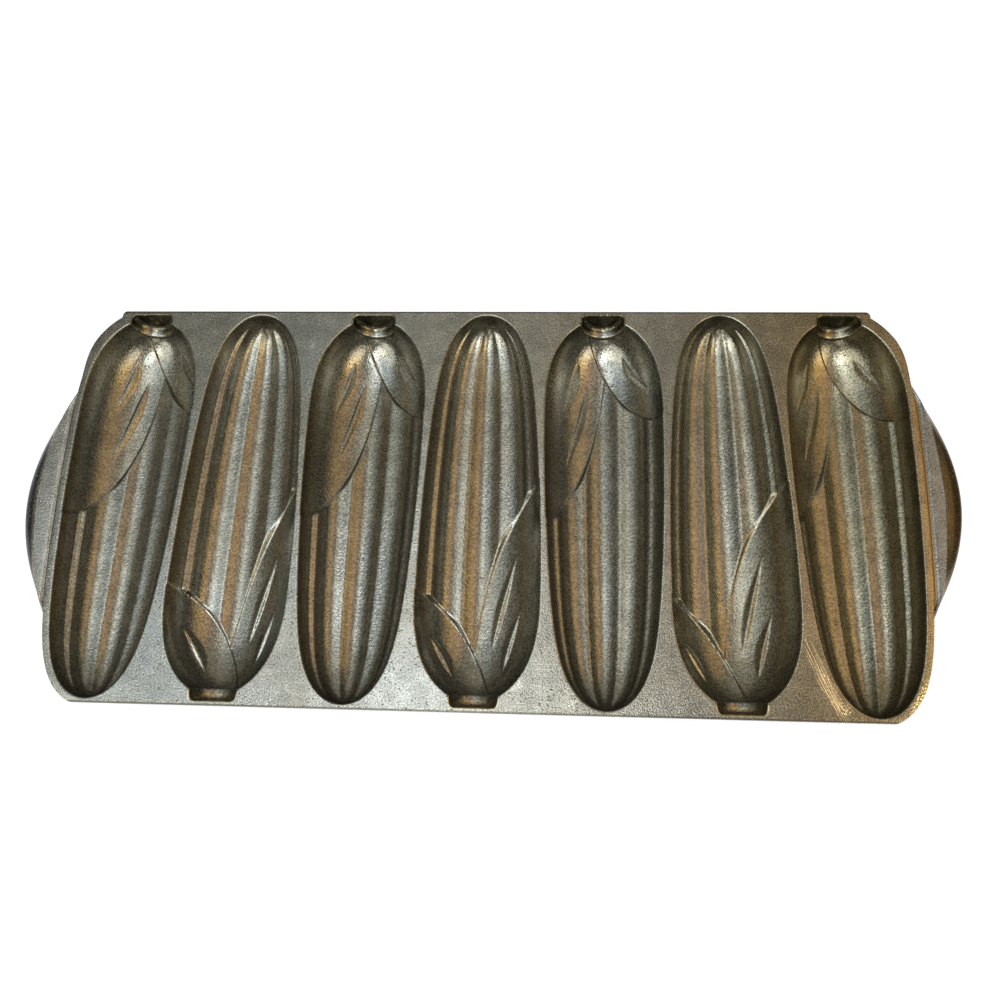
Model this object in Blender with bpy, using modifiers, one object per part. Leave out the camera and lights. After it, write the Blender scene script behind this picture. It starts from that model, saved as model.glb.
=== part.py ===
"""A seven-stick cornstick pan in cast iron.

The real pan is one casting: a thin flat deck with seven ear-shaped moulds sunk in it,
side by side and turned end for end, and a half-moon grip cast on each end.
Here the casting is modelled in named sections with a hairline gap between them:
the deck plate, the seven ear cups that hang under it, and the two grips.

Metres, +Z up. The origin is under the middle of the pan, on the plane it stands on.
X runs along the row of ears, Y along each ear, away from the cook.
"""
import math

import bmesh
import bpy
from mathutils import Matrix, Vector

MM = 0.001

# The row of moulds
EAR_COUNT = 7
EAR_WEB = 1.2 * MM             # deck left between two ears if their widest places met

# One ear, measured at the deck's top face. Its own frame has the tip at +Y and the stem at -Y.
EAR_LENGTH = 147.0 * MM        # from the tip to the end wall of the stem
EAR_HALF_WIDTH = 21.4 * MM     # at its widest
EAR_DEPTH = 17.0 * MM          # at the bottom of the flutes, where the ear is widest
SHOULDER_LENGTH = 38.6 * MM    # from the widest place to the stem's lip
SHOULDER_RUN_ON = 2.4 * MM     # the shoulder's curve would close this far beyond the lip
STEM_LENGTH = 3.9 * MM         # from the lip to the end wall

# Shape numbers of the ear's outline and of its depth
TIP_TAPER = 0.30               # share of the width lost to the taper by the tip
TIP_ROUNDNESS = 10.0           # how late the nose turns in
NOSE_POWER = 2.0
BUTT_ROUNDNESS = 2.9
BUTT_POWER = 1.85
DEPTH_POWER = 0.6              # the depth falls off more slowly than the width
NOSE_CAP = 0.10 * MM           # the loft is capped this far short of the very tip

# Kernel rows: concave flutes with a crest between each two
CREST_COUNT = 4
CREST_SPACING = math.radians(38.6)
CREST_HEIGHT = 0.085           # share of the ear's radius
CREST_ROUNDING = 0.16          # share of half a flute over which a crest is blunted
CREST_FADE = 4.0 * MM          # the crests rise over this length from the tip

# Husk leaves: smooth areas sunk below the kernel rows, each bounded by one Bezier edge.
# Its points are (half widths from the middle line, shoulder lengths from the stem's lip).
LARGE_LEAF_EDGE = ((1.05, 2.06), (0.28, 1.57), (0.07, 1.08), (-0.07, 0.40))
SMALL_LEAF_EDGE = ((-1.10, 0.95), (-0.61, 0.90), (-0.05, 0.51), (0.23, -0.02))
LARGE_LEAF_DROP = 0.8 * MM     # how far the large leaf lies below the flutes
SMALL_LEAF_DROP = 1.3 * MM     # the small leaf laps over the large one, so it is deeper
LEAF_RIM_STEP = 0.25 * MM      # how far the leaves widen the ear at the rim
LEAF_MARGIN = 3.0 * MM         # how far a leaf's cutter reaches past the rim

# Stem: a short half-round trough, a little narrower at its end wall
STEM_LIP_RADIUS = 8.2 * MM
STEM_END_RADIUS = 7.4 * MM

# Casting
DECK_THICKNESS = 3.0 * MM
SIDE_WALL = 2.4 * MM           # round each ear, and the rim of the deck at both ends
BELLY_WALL = 3.4 * MM          # under each ear
END_MARGIN = 1.5 * MM          # deck left beyond the tips and the stems
FOOT_FLAT = 0.4 * MM           # ground off each belly, so the pan stands flat
SECTION_GAP = 0.3 * MM         # between neighbouring sections of the casting
RIM_FLARE = 2.0 * MM           # the deck's rim widens by this much round the stem of an end ear
RIM_FLARE_START = 13.0 * MM    # from the ear's widest place towards its stem
RIM_FLARE_LENGTH = 18.0 * MM
STEM_TAB_SIDE = 1.5 * MM       # the corner tabs are this much wider than the rim beside them
DECK_EDGE_ROUND = 0.5 * MM
CORNER_ROUND = 1.0 * MM

# Grips: circle segments with a shallow slope and a soft rounding along the outer edge
GRIP_REACH = 13.4 * MM         # beyond the deck's rim
GRIP_RADIUS = 66.0 * MM        # of the outer edge
LEFT_GRIP_MIDDLE = 0.5 * MM    # the two grips don't sit quite alike along their rims
RIGHT_GRIP_MIDDLE = 4.5 * MM
GRIP_THICKNESS = 5.0 * MM
GRIP_DROP = 1.3 * MM           # top of the grip below the top of the deck
GRIP_SLOPE = 3.6 * MM          # width of the slope
GRIP_SLOPE_DROP = 0.75 * MM
GRIP_ROUND = 3.0 * MM          # width of the rounding
GRIP_ROOT = 20.0 * MM          # how far a grip goes in from its outer edge before it is cut off

# Smoothness of the lofts
TIP_STATIONS = 13
BUTT_STATIONS = 7
STEPS_PER_FLUTE = 4
OUTER_STEPS = 10
LEAF_STEPS = 16
LEAF_EDGE_STEPS = 8
STEM_SIDES = 24
GRIP_ARC_STEPS = 24
GRIP_ROUND_STEPS = 6

# What follows from the sizes above
EAR_PITCH = 2.0 * EAR_HALF_WIDTH + EAR_WEB
TIP_REACH = 0.5 * EAR_LENGTH
STEM_END = -0.5 * EAR_LENGTH
SHOULDER_END = STEM_END + STEM_LENGTH
WIDEST_AT = SHOULDER_END + SHOULDER_LENGTH
BUTT_REACH = SHOULDER_LENGTH + SHOULDER_RUN_ON
DECK_TOP = EAR_DEPTH + BELLY_WALL - FOOT_FLAT
CUP_TOP = DECK_TOP - DECK_THICKNESS - SECTION_GAP
DECK_HALF_DEPTH = TIP_REACH + END_MARGIN
ROW_HALF = (EAR_COUNT - 1) / 2 * EAR_PITCH
RIM_X = ROW_HALF + EAR_HALF_WIDTH + SIDE_WALL
LID = 2.0 * MM                 # how far a cutter reaches above the deck

IRON = (0.085, 0.078, 0.066)
IRON_WORN = (0.150, 0.138, 0.118)


def clear_scene():
    for obj in list(bpy.data.objects):
        bpy.data.objects.remove(obj, do_unlink=True)


def new_collection(name):
    collection = bpy.data.collections.new(name)
    bpy.context.scene.collection.children.link(collection)
    return collection


def iron_material(name, colour, roughness):
    material = bpy.data.materials.new(name)
    material.use_nodes = True
    shader = material.node_tree.nodes["Principled BSDF"]
    shader.inputs["Base Color"].default_value = (*colour, 1.0)
    shader.inputs["Metallic"].default_value = 0.85
    shader.inputs["Roughness"].default_value = roughness
    return material


# Outline and depth of the ear

def tip_width(u):
    """Half-width of the tip half, for u from 0 at the widest place to 1 at the tip."""
    taper = 1.0 - TIP_TAPER * u * u
    return EAR_HALF_WIDTH * taper * (1.0 - u ** TIP_ROUNDNESS) ** (1.0 / NOSE_POWER)


def butt_width(t):
    """Half-width of the stem half, for t from 0 at the widest place to 1 where it would close."""
    return EAR_HALF_WIDTH * (1.0 - t ** BUTT_ROUNDNESS) ** (1.0 / BUTT_POWER)


def ear_stations():
    """Half-width and Y of each station from the tip to the stem's lip."""
    stations = []
    first = 1.0 - NOSE_CAP / (TIP_REACH - WIDEST_AT)
    for i in range(TIP_STATIONS, 0, -1):
        u = first * math.sin(0.5 * math.pi * i / TIP_STATIONS)
        stations.append((tip_width(u), WIDEST_AT + u * (TIP_REACH - WIDEST_AT)))
    last = (WIDEST_AT - SHOULDER_END) / BUTT_REACH
    for i in range(BUTT_STATIONS + 1):
        t = last * math.sin(0.5 * math.pi * i / BUTT_STATIONS)
        stations.append((butt_width(t), WIDEST_AT - t * BUTT_REACH))
    return stations


def offset_stations(stations, distance, flare=lambda y: 0.0):
    """Move each station outwards along the outline's normal, by more where it flares."""
    moved = []
    last = len(stations) - 1
    for i, (width, y) in enumerate(stations):
        ahead = Vector(stations[max(i - 1, 0)])
        behind = Vector(stations[min(i + 1, last)])
        along = (ahead - behind).normalized()
        reach = distance + flare(y)
        moved.append((width + along.y * reach, y - along.x * reach))
    return moved


def depth_at(width):
    return EAR_DEPTH * (width / EAR_HALF_WIDTH) ** DEPTH_POWER


def crest_angles():
    first = -0.5 * (CREST_COUNT - 1) * CREST_SPACING
    return [first + i * CREST_SPACING for i in range(CREST_COUNT)]


def scallop(away):
    """Section of one flute's flank, from a blunted crest at 0 to the flute's bottom at 1."""
    blunt = math.hypot(away, CREST_ROUNDING) / math.hypot(1.0, CREST_ROUNDING)
    return 1.0 - math.sin(0.5 * math.pi * blunt)


def crest_rise(angle):
    """1 on top of a crest, 0 at the bottom of a flute."""
    nearest = min(abs(angle - crest) for crest in crest_angles())
    away = nearest / (0.5 * CREST_SPACING)
    return scallop(away) / scallop(0.0) if away < 1.0 else 0.0


def fluted_angles():
    """Angles round the mould between the rims, with points on every crest and flute bottom."""
    half = CREST_COUNT * STEPS_PER_FLUTE // 2
    step = CREST_SPACING / STEPS_PER_FLUTE
    return [i * step for i in range(-half, half + 1)]


def plain_angles(steps):
    """Even angles round the mould, without the two rims."""
    return [math.pi * (i / steps - 0.5) for i in range(1, steps)]


# Meshes

def link_mesh(name, bm, collection):
    bmesh.ops.recalc_face_normals(bm, faces=bm.faces)
    mesh = bpy.data.meshes.new(name)
    bm.to_mesh(mesh)
    bm.free()
    obj = bpy.data.objects.new(name, mesh)
    collection.objects.link(obj)
    return obj


def ear_section(width, depth, angles, crest_height):
    """X and Z round one section. The walls run on past the deck's top face up to the lid."""
    points = []
    for angle in angles:
        radius = 1.0 - crest_height * crest_rise(angle)
        points.append((width * radius * math.sin(angle), -depth * radius * math.cos(angle)))
    low_x, low_z = points[-1]
    top_x = width + (width - low_x) * LID / -low_z
    return [(-top_x, LID), *points, (top_x, LID)]


def loft_ear(name, stations, depths, angles, crest_height, collection):
    """A closed body through one section per station, flat on top at the lid."""
    bm = bmesh.new()
    tip = stations[0][1]
    rings = []
    for (width, y), depth in zip(stations, depths):
        height = crest_height * min(1.0, (tip - y) / CREST_FADE)
        section = ear_section(width, depth, angles, height)
        rings.append([bm.verts.new((x, y, z)) for x, z in section])
    for ring, following in zip(rings, rings[1:]):
        for i in range(len(ring)):
            j = (i + 1) % len(ring)
            bm.faces.new((ring[i], ring[j], following[j], following[i]))
    bm.faces.new(rings[0])
    bm.faces.new(rings[-1])
    return link_mesh(name, bm, collection)


def plate(name, outline, low, high, collection):
    """A flat plate with the given outline, made as a filled curve."""
    curve = bpy.data.curves.new(name, "CURVE")
    curve.dimensions = "2D"
    curve.fill_mode = "BOTH"
    curve.extrude = 0.5 * (high - low)
    spline = curve.splines.new("POLY")
    spline.points.add(len(outline) - 1)
    for point, (x, y) in zip(spline.points, outline):
        point.co = (x, y, 0.0, 1.0)
    spline.use_cyclic_u = True
    drawn = bpy.data.objects.new(name, curve)
    collection.objects.link(drawn)
    solid = curve_to_mesh(drawn, collection)
    solid.data.transform(Matrix.Translation((0.0, 0.0, 0.5 * (low + high))))
    return solid


def curve_to_mesh(drawn, collection):
    """A welded mesh of a filled curve, with each flat cap as one face."""
    name = drawn.name
    graph = bpy.context.evaluated_depsgraph_get()
    mesh = bpy.data.meshes.new_from_object(drawn.evaluated_get(graph))
    bpy.data.objects.remove(drawn, do_unlink=True)
    bm = bmesh.new()
    bm.from_mesh(mesh)
    bmesh.ops.remove_doubles(bm, verts=bm.verts, dist=0.001 * MM)
    bmesh.ops.dissolve_limit(bm, angle_limit=math.radians(0.5), verts=bm.verts, edges=bm.edges)
    bpy.data.meshes.remove(mesh)
    return link_mesh(name, bm, collection)


def box(name, low, high, collection):
    bm = bmesh.new()
    size = Vector(high) - Vector(low)
    middle = 0.5 * (Vector(high) + Vector(low))
    bmesh.ops.create_cube(bm, size=1.0, matrix=Matrix.Translation(middle) @ Matrix.Diagonal((*size, 1.0)))
    return link_mesh(name, bm, collection)


def stem_body(name, grow, inner_y, outer_y, collection):
    """A short cone frustum along Y, from the stem's lip to its end wall."""
    bm = bmesh.new()
    place = Matrix.Translation((0.0, 0.5 * (inner_y + outer_y), 0.0)) @ Matrix.Rotation(0.5 * math.pi, 4, "X")
    bmesh.ops.create_cone(bm, cap_ends=True, segments=STEM_SIDES, radius1=STEM_LIP_RADIUS + grow,
                          radius2=STEM_END_RADIUS + grow, depth=inner_y - outer_y, matrix=place)
    return link_mesh(name, bm, collection)


def apply_modifiers(obj):
    """Keep the evaluated shape as the object's own mesh."""
    graph = bpy.context.evaluated_depsgraph_get()
    mesh = bpy.data.meshes.new_from_object(obj.evaluated_get(graph))
    obj.modifiers.clear()
    spent = obj.data
    obj.data = mesh
    bpy.data.meshes.remove(spent)


def combine(obj, tool, operation):
    """Join, cut or clip an object with a tool, which is used up."""
    modifier = obj.modifiers.new(operation.lower(), "BOOLEAN")
    modifier.operation = operation
    modifier.solver = "EXACT"
    modifier.object = tool
    apply_modifiers(obj)
    bpy.data.objects.remove(tool, do_unlink=True)


def bevel(obj, width, segments):
    modifier = obj.modifiers.new("round", "BEVEL")
    modifier.width = width
    modifier.segments = segments
    modifier.limit_method = "ANGLE"
    modifier.angle_limit = math.radians(60.0)
    apply_modifiers(obj)


# Husk leaves

def bezier(points, steps):
    """Points along one leaf's edge, from its ear units to metres."""
    a, b, c, d = (Vector((x * EAR_HALF_WIDTH, SHOULDER_END + y * SHOULDER_LENGTH)) for x, y in points)
    curve = []
    for i in range(steps + 1):
        t = i / steps
        s = 1.0 - t
        curve.append(a * s ** 3 + b * 3 * s * s * t + c * 3 * s * t * t + d * t ** 3)
    return curve


def husk_leaf(name, edge, side, drop, collection):
    """The part of a smooth, slightly deeper ear that lies inside one leaf's edge."""
    stations = [(width + LEAF_RIM_STEP, y) for width, y in ear_stations()]
    depths = [depth_at(width) + drop for width, y in ear_stations()]
    leaf = loft_ear(name, stations, depths, plain_angles(LEAF_STEPS), 0.0, collection)
    curve = bezier(edge, LEAF_EDGE_STEPS)
    outside = side * (EAR_HALF_WIDTH + LEAF_MARGIN)
    outline = [*curve, Vector((curve[-1].x, STEM_END)), Vector((outside, STEM_END)),
               Vector((outside, curve[0].y))]
    combine(leaf, plate("leaf_area", outline, -2.0 * EAR_DEPTH, 2.0 * LID, collection), "INTERSECT")
    return leaf


def ear_cutter(collection):
    """Everything that one mould takes out of the casting, in the ear's own frame."""
    stations = ear_stations()
    depths = [depth_at(width) for width, y in stations]
    cutter = loft_ear("ear_cutter", stations, depths, fluted_angles(), CREST_HEIGHT, collection)
    additions = (
        husk_leaf("large_leaf", LARGE_LEAF_EDGE, 1, LARGE_LEAF_DROP, collection),
        husk_leaf("small_leaf", SMALL_LEAF_EDGE, -1, SMALL_LEAF_DROP, collection),
        stem_body("stem", 0.0, SHOULDER_END + SIDE_WALL, STEM_END, collection),
    )
    for addition in additions:
        combine(cutter, addition, "UNION")
    return cutter


def ear_shell_body(collection):
    """The outside of one cup, before it is clipped to its cell."""
    plain = ear_stations()
    depths = [depth_at(width) + BELLY_WALL for width, y in plain]
    grown = offset_stations(plain, SIDE_WALL)
    body = loft_ear("ear_outside", grown, depths, plain_angles(OUTER_STEPS), 0.0, collection)
    stem = stem_body("stem_outside", SIDE_WALL, WIDEST_AT, -DECK_HALF_DEPTH, collection)
    combine(body, stem, "UNION")
    return body


# Sections of the casting

def ear_place(index):
    """Where one ear sits: odd ones, counted from 1, have their stem on the far side."""
    x = -ROW_HALF + index * EAR_PITCH
    turn = Matrix.Rotation(math.pi if index % 2 == 0 else 0.0, 4, "Z")
    return Matrix.Translation((x, 0.0, DECK_TOP)) @ turn


def placed_copy(source, name, place, collection):
    obj = bpy.data.objects.new(name, source.data.copy())
    obj.data.transform(place)
    collection.objects.link(obj)
    return obj


def row_of_moulds(cutter, collection):
    """All the moulds in one mesh, so that one cut makes every hole in the deck."""
    bm = bmesh.new()
    for index in range(EAR_COUNT):
        mould = cutter.data.copy()
        mould.transform(ear_place(index))
        bm.from_mesh(mould)
        bpy.data.meshes.remove(mould)
    return link_mesh("row_of_moulds", bm, collection)


def cell_box(index, collection):
    """The room one cup may fill: up to its neighbours' planes, under the deck, above the floor."""
    x = -ROW_HALF + index * EAR_PITCH
    open_side = EAR_PITCH
    shared_side = 0.5 * (EAR_PITCH - SECTION_GAP)
    left = open_side if index == 0 else shared_side
    right = open_side if index == EAR_COUNT - 1 else shared_side
    low = (x - left, -DECK_HALF_DEPTH, 0.0)
    high = (x + right, DECK_HALF_DEPTH, CUP_TOP)
    return box("cell", low, high, collection)


def make_cup(index, body, cutter, pan, cutters, material):
    place = ear_place(index)
    cup = placed_copy(body, f"ear_cup_{index + 1}", place, pan)
    combine(cup, cell_box(index, cutters), "INTERSECT")
    combine(cup, placed_copy(cutter, "mould", place, cutters), "DIFFERENCE")
    finish(cup, material)
    return cup


def rim_flare(y):
    """What the deck's rim gains round the stem of an end ear."""
    share = min(max((WIDEST_AT - RIM_FLARE_START - y) / RIM_FLARE_LENGTH, 0.0), 1.0)
    return RIM_FLARE * share * share * (3.0 - 2.0 * share)


def end_lobe(offset):
    """Right-hand half of an end ear's outline, moved out by an offset, tip side first."""
    return [(width, -y) for width, y in offset_stations(ear_stations(), offset, rim_flare)]


def corner_arc(x, y, radius, steps=3):
    """A quarter round into the corner at x, y, from the side below it to the side left of it."""
    points = []
    for i in range(steps + 1):
        angle = 0.5 * math.pi * i / steps
        points.append((x - radius + radius * math.cos(angle), y - radius + radius * math.sin(angle)))
    return points


def deck_outline():
    """The deck's outline: straight long sides, ends that follow the end ears."""
    lobe = end_lobe(SIDE_WALL)
    tab_x = lobe[-1][0] + STEM_TAB_SIDE
    start = next(i for i, (x, y) in enumerate(lobe) if y > -DECK_HALF_DEPTH)
    stop = next(i for i, (x, y) in enumerate(lobe) if y > 0.0 and x < tab_x)
    share = (tab_x - lobe[stop][0]) / (lobe[stop - 1][0] - lobe[stop][0])
    tab_y = lobe[stop][1] + share * (lobe[stop - 1][1] - lobe[stop][1])
    before, after = Vector(lobe[start - 1]), Vector(lobe[start])
    share = (-DECK_HALF_DEPTH - before.y) / (after.y - before.y)
    edge = before.lerp(after, share)
    right = [tuple(edge), *lobe[start:stop], (tab_x, tab_y)]
    right += corner_arc(tab_x, DECK_HALF_DEPTH, CORNER_ROUND)
    right = [(x + ROW_HALF, y) for x, y in right]
    return right + [(-x, y) for x, y in reversed(right)]


def make_deck(cutter, pan, cutters, material):
    deck = plate("deck_plate", deck_outline(), DECK_TOP - DECK_THICKNESS, DECK_TOP, pan)
    bevel(deck, DECK_EDGE_ROUND, 1)
    combine(deck, row_of_moulds(cutter, cutters), "DIFFERENCE")
    finish(deck, material)
    return deck


def grip_section():
    """Section across a grip: (distance from the outer edge, height above the grip's underside)."""
    slope_foot = GRIP_THICKNESS - GRIP_SLOPE_DROP
    points = [(-GRIP_ROOT, 0.0), (-GRIP_ROOT, GRIP_THICKNESS), (-GRIP_ROUND - GRIP_SLOPE, GRIP_THICKNESS)]
    for i in range(GRIP_ROUND_STEPS + 1):
        angle = math.pi * (0.5 - i / GRIP_ROUND_STEPS)
        points.append((GRIP_ROUND * (math.cos(angle) - 1.0), 0.5 * slope_foot * (1.0 + math.sin(angle))))
    return points


def grip_body(name, middle, collection):
    """The section turned about the middle of the grip's arc, far enough to end inside the pan."""
    outer_x = RIM_X + GRIP_REACH
    half_angle = math.acos(1.0 - (GRIP_REACH + 2.0 * SIDE_WALL) / GRIP_RADIUS)
    low = DECK_TOP - GRIP_DROP - GRIP_THICKNESS
    bm = bmesh.new()
    section = bm.faces.new([bm.verts.new((GRIP_RADIUS + x, 0.0, low + z)) for x, z in grip_section()])
    bmesh.ops.rotate(bm, verts=bm.verts, cent=(0.0, 0.0, 0.0), matrix=Matrix.Rotation(-half_angle, 3, "Z"))
    bmesh.ops.spin(bm, geom=[section, *section.edges, *section.verts], cent=(0.0, 0.0, 0.0),
                   axis=(0.0, 0.0, 1.0), angle=2.0 * half_angle, steps=GRIP_ARC_STEPS)
    bmesh.ops.translate(bm, verts=bm.verts, vec=(outer_x - GRIP_RADIUS, middle, 0.0))
    return link_mesh(name, bm, collection)


def make_grip(name, side, middle, pan, cutters, material):
    """One grip, seated against the rim of the deck and against the end cup."""
    grip = grip_body(name, middle, pan)
    lobe = [(x + ROW_HALF, y) for x, y in end_lobe(SIDE_WALL + SECTION_GAP)]
    seat = plate("seat", [*lobe, (0.0, DECK_HALF_DEPTH), (0.0, -DECK_HALF_DEPTH)],
                 0.0, DECK_TOP + LID, cutters)
    combine(grip, seat, "DIFFERENCE")
    if side < 0:
        grip.data.transform(Matrix.Scale(-1.0, 4, (1.0, 0.0, 0.0)))
        grip.data.flip_normals()
    finish(grip, material)
    return grip


def finish(obj, material):
    """Give a finished section its material and smooth shading with crisp edges."""
    obj.data.materials.clear()
    obj.data.materials.append(material)
    obj.data.shade_smooth()
    obj.data.set_sharp_from_angle(angle=math.radians(32.0))


def build():
    clear_scene()
    pan = new_collection("cornstick_pan")
    cutters = new_collection("cutters")
    deck_iron = iron_material("deck_iron", IRON_WORN, 0.45)
    cup_iron = iron_material("mould_iron", IRON, 0.38)
    grip_iron = iron_material("grip_iron", IRON, 0.50)

    cutter = ear_cutter(cutters)
    body = ear_shell_body(cutters)
    make_deck(cutter, pan, cutters, deck_iron)
    for index in range(EAR_COUNT):
        make_cup(index, body, cutter, pan, cutters, cup_iron)
    make_grip("grip_left", -1, LEFT_GRIP_MIDDLE, pan, cutters, grip_iron)
    make_grip("grip_right", 1, RIGHT_GRIP_MIDDLE, pan, cutters, grip_iron)
    for spent in (cutter, body):
        bpy.data.objects.remove(spent, do_unlink=True)


build()
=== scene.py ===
# %% [markdown]
# # A cast-iron cornstick pan
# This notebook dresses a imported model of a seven-stick cornbread pan. The model gives every
# section of the casting as a plain solid in its place: the deck plate, seven ear cups and two
# grips. Here each of them gets the surface that a sand-cast, seasoned pan really has.
# Everything is in metres, +Z up, with the pan standing on Z = 0 and its ears lying along Y.

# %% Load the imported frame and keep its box
import math

import bmesh
import bpy
import numpy as np
from mathutils import Matrix, Vector


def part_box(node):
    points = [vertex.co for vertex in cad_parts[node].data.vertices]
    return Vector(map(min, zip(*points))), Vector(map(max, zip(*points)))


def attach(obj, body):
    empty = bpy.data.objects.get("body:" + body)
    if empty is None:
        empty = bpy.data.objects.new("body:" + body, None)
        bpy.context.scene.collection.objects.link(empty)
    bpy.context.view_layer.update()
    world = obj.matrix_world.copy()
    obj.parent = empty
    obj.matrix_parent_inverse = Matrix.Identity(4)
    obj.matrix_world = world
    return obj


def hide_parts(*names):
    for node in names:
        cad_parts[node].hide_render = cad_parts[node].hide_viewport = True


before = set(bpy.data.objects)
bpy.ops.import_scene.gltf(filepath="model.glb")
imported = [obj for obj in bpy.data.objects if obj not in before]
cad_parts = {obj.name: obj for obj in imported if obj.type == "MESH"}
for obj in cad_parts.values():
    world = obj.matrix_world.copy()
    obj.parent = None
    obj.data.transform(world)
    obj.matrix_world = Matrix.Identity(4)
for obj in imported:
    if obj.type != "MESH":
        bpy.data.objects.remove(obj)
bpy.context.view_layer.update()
MM = 0.001

# %% [markdown]
# ## What the frame says
# The deck node gives the plane of the top face, the deck's thickness and its outline box, and
# the cups give the spacing of the ears. The numbers of the ear's own curve are written out,
# because a curve can't be read back from a box.

# %% Sizes read from the frame
deck_low, deck_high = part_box("deck_plate")
DECK_TOP = deck_high.z
DECK_THICKNESS = deck_high.z - deck_low.z
DECK_HALF_DEPTH = deck_high.y
EAR_COUNT = sum(name.startswith("ear_cup_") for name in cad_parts)


def middle_x(node):
    low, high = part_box(node)
    return 0.5 * (low.x + high.x)


EAR_PITCH = 0.5 * (middle_x("ear_cup_5") - middle_x("ear_cup_3"))
ROW_HALF = 0.5 * (EAR_COUNT - 1) * EAR_PITCH
print("ears:", EAR_COUNT, "at", round(EAR_PITCH / MM, 2), "mm")

# %% Sizes of one ear
EAR_HALF_WIDTH = 21.4 * MM
EAR_DEPTH = 17.0 * MM
EAR_LENGTH = 147.0 * MM
SHOULDER_LENGTH = 38.6 * MM
SHOULDER_RUN_ON = 2.4 * MM
STEM_LENGTH = 3.9 * MM
STEM_LIP_RADIUS = 8.2 * MM
STEM_END_RADIUS = 7.4 * MM
SIDE_WALL = 2.4 * MM
BELLY_WALL = 3.4 * MM
END_WALL = 1.4 * MM
STEM_WALL = 2.1 * MM
FOOT_FLAT = 0.4 * MM

TIP_Y = 0.5 * EAR_LENGTH
STEM_Y = -0.5 * EAR_LENGTH
LIP_Y = STEM_Y + STEM_LENGTH
WIDEST_Y = LIP_Y + SHOULDER_LENGTH
BUTT_REACH = SHOULDER_LENGTH + SHOULDER_RUN_ON
print("one ear:", round(EAR_LENGTH / MM, 1), "mm long, widest at", round(WIDEST_Y / MM, 1), "mm")

# %% [markdown]
# ## The path from tip to stem
# A mould is a loft: half-round sections strung along Y, each with a half-width and a depth.
# The widths follow one superellipse up to the tip and another round the shoulder, then step
# over the stem's lip into the short trough. The sections are spaced evenly along that path
# rather than along Y, so the blunt nose gets as many of them as it needs.

# %% Half-width and depth along the ear
TIP_TAPER = 0.30
TIP_SQUARENESS = 10.0
SHOULDER_POWERS = (2.9, 1.85)
DEPTH_POWER = 0.6
TIP_SAMPLES, SHOULDER_SAMPLES = 500, 300


def tip_width(u):
    """Half-width at a share u of the way from the widest place to the tip."""
    taper = 1.0 - TIP_TAPER * u * u
    return EAR_HALF_WIDTH * taper * np.sqrt(np.maximum(1.0 - u ** TIP_SQUARENESS, 0.0))


def shoulder_width(t):
    """Half-width at a share t of the way from the widest place to the end of the shoulder's curve."""
    along_power, across_power = SHOULDER_POWERS
    return EAR_HALF_WIDTH * np.maximum(1.0 - t ** along_power, 0.0) ** (1.0 / across_power)


def ear_depth(width):
    return EAR_DEPTH * (width / EAR_HALF_WIDTH) ** DEPTH_POWER


def ear_path():
    """Dense (y, half-width, depth) rows from the tip to the stem's lip."""
    u = np.sin(np.linspace(0.5 * np.pi, 0.0, TIP_SAMPLES))
    t = np.sin(np.linspace(0.0, 0.5 * np.pi, SHOULDER_SAMPLES)) * (SHOULDER_LENGTH / BUTT_REACH)
    y = np.concatenate([WIDEST_Y + u * (TIP_Y - WIDEST_Y), WIDEST_Y - t[1:] * BUTT_REACH])
    width = np.concatenate([tip_width(u), shoulder_width(t[1:])])
    return np.column_stack([y, width, ear_depth(width)])


LIP_STEP = 0.1 * MM
STEM_END_ROUND = 1.4 * MM
TROUGH_SAMPLES, CORNER_SAMPLES, WALL_SAMPLES = 20, 12, 30


def stem_path():
    """Rows over the lip, along the trough, round its end and in to the middle of the end wall."""
    trough_y = np.linspace(LIP_Y - LIP_STEP, STEM_Y + STEM_END_ROUND, TROUGH_SAMPLES)
    share = (LIP_Y - trough_y) / STEM_LENGTH
    trough = STEM_LIP_RADIUS + (STEM_END_RADIUS - STEM_LIP_RADIUS) * share
    corner = np.linspace(0.0, 0.5 * np.pi, CORNER_SAMPLES)[1:]
    round_y = STEM_Y + STEM_END_ROUND * (1.0 - np.sin(corner))
    round_r = trough[-1] - STEM_END_ROUND * (1.0 - np.cos(corner))
    wall_r = np.linspace(round_r[-1], 0.0, WALL_SAMPLES)[1:]
    y = np.concatenate([trough_y, round_y, np.full(len(wall_r), STEM_Y)])
    radius = np.concatenate([trough, round_r, wall_r])
    return np.column_stack([y, radius, radius])


def resample(path, count):
    """The same path with its rows evenly spaced along its length."""
    steps = np.linalg.norm(np.diff(path, axis=0), axis=1)
    run = np.concatenate([[0.0], np.cumsum(steps)])
    even = np.linspace(0.0, run[-1], count)
    return np.column_stack([np.interp(even, run, path[:, k]) for k in range(3)])


# %% The whole path, with a soft lip
ROWS = 310
LIP_SOFT_REACH = 2.0 * MM
LIP_SOFT_ROUNDS = 4
mould_path = resample(np.vstack([ear_path(), stem_path()]), ROWS + 1)
near_lip = np.abs(mould_path[:, 0] - LIP_Y) < LIP_SOFT_REACH
for _ in range(LIP_SOFT_ROUNDS):
    softened = mould_path[:, 1].copy()
    softened[1:-1] = (softened[:-2] + 2.0 * softened[1:-1] + softened[2:]) / 4.0
    mould_path[near_lip, 1] = softened[near_lip]
widest = round(mould_path[:, 1].max() / MM, 2)
print("path:", len(mould_path), "sections, half-width up to", widest, "mm")

# %% [markdown]
# ## Kernel rows, husk leaves and veins
# The cob's kernel rows are five hollow flutes with a blunt crest between each two. The husk
# is two smooth leaves that lie deeper than the flutes, each ended by a crisp step along one
# Bezier curve, and the small leaf laps over the large one. On the leaves stand three veins:
# long pointed ridges, gentle towards the middle of the ear and steep towards its rim.

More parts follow.
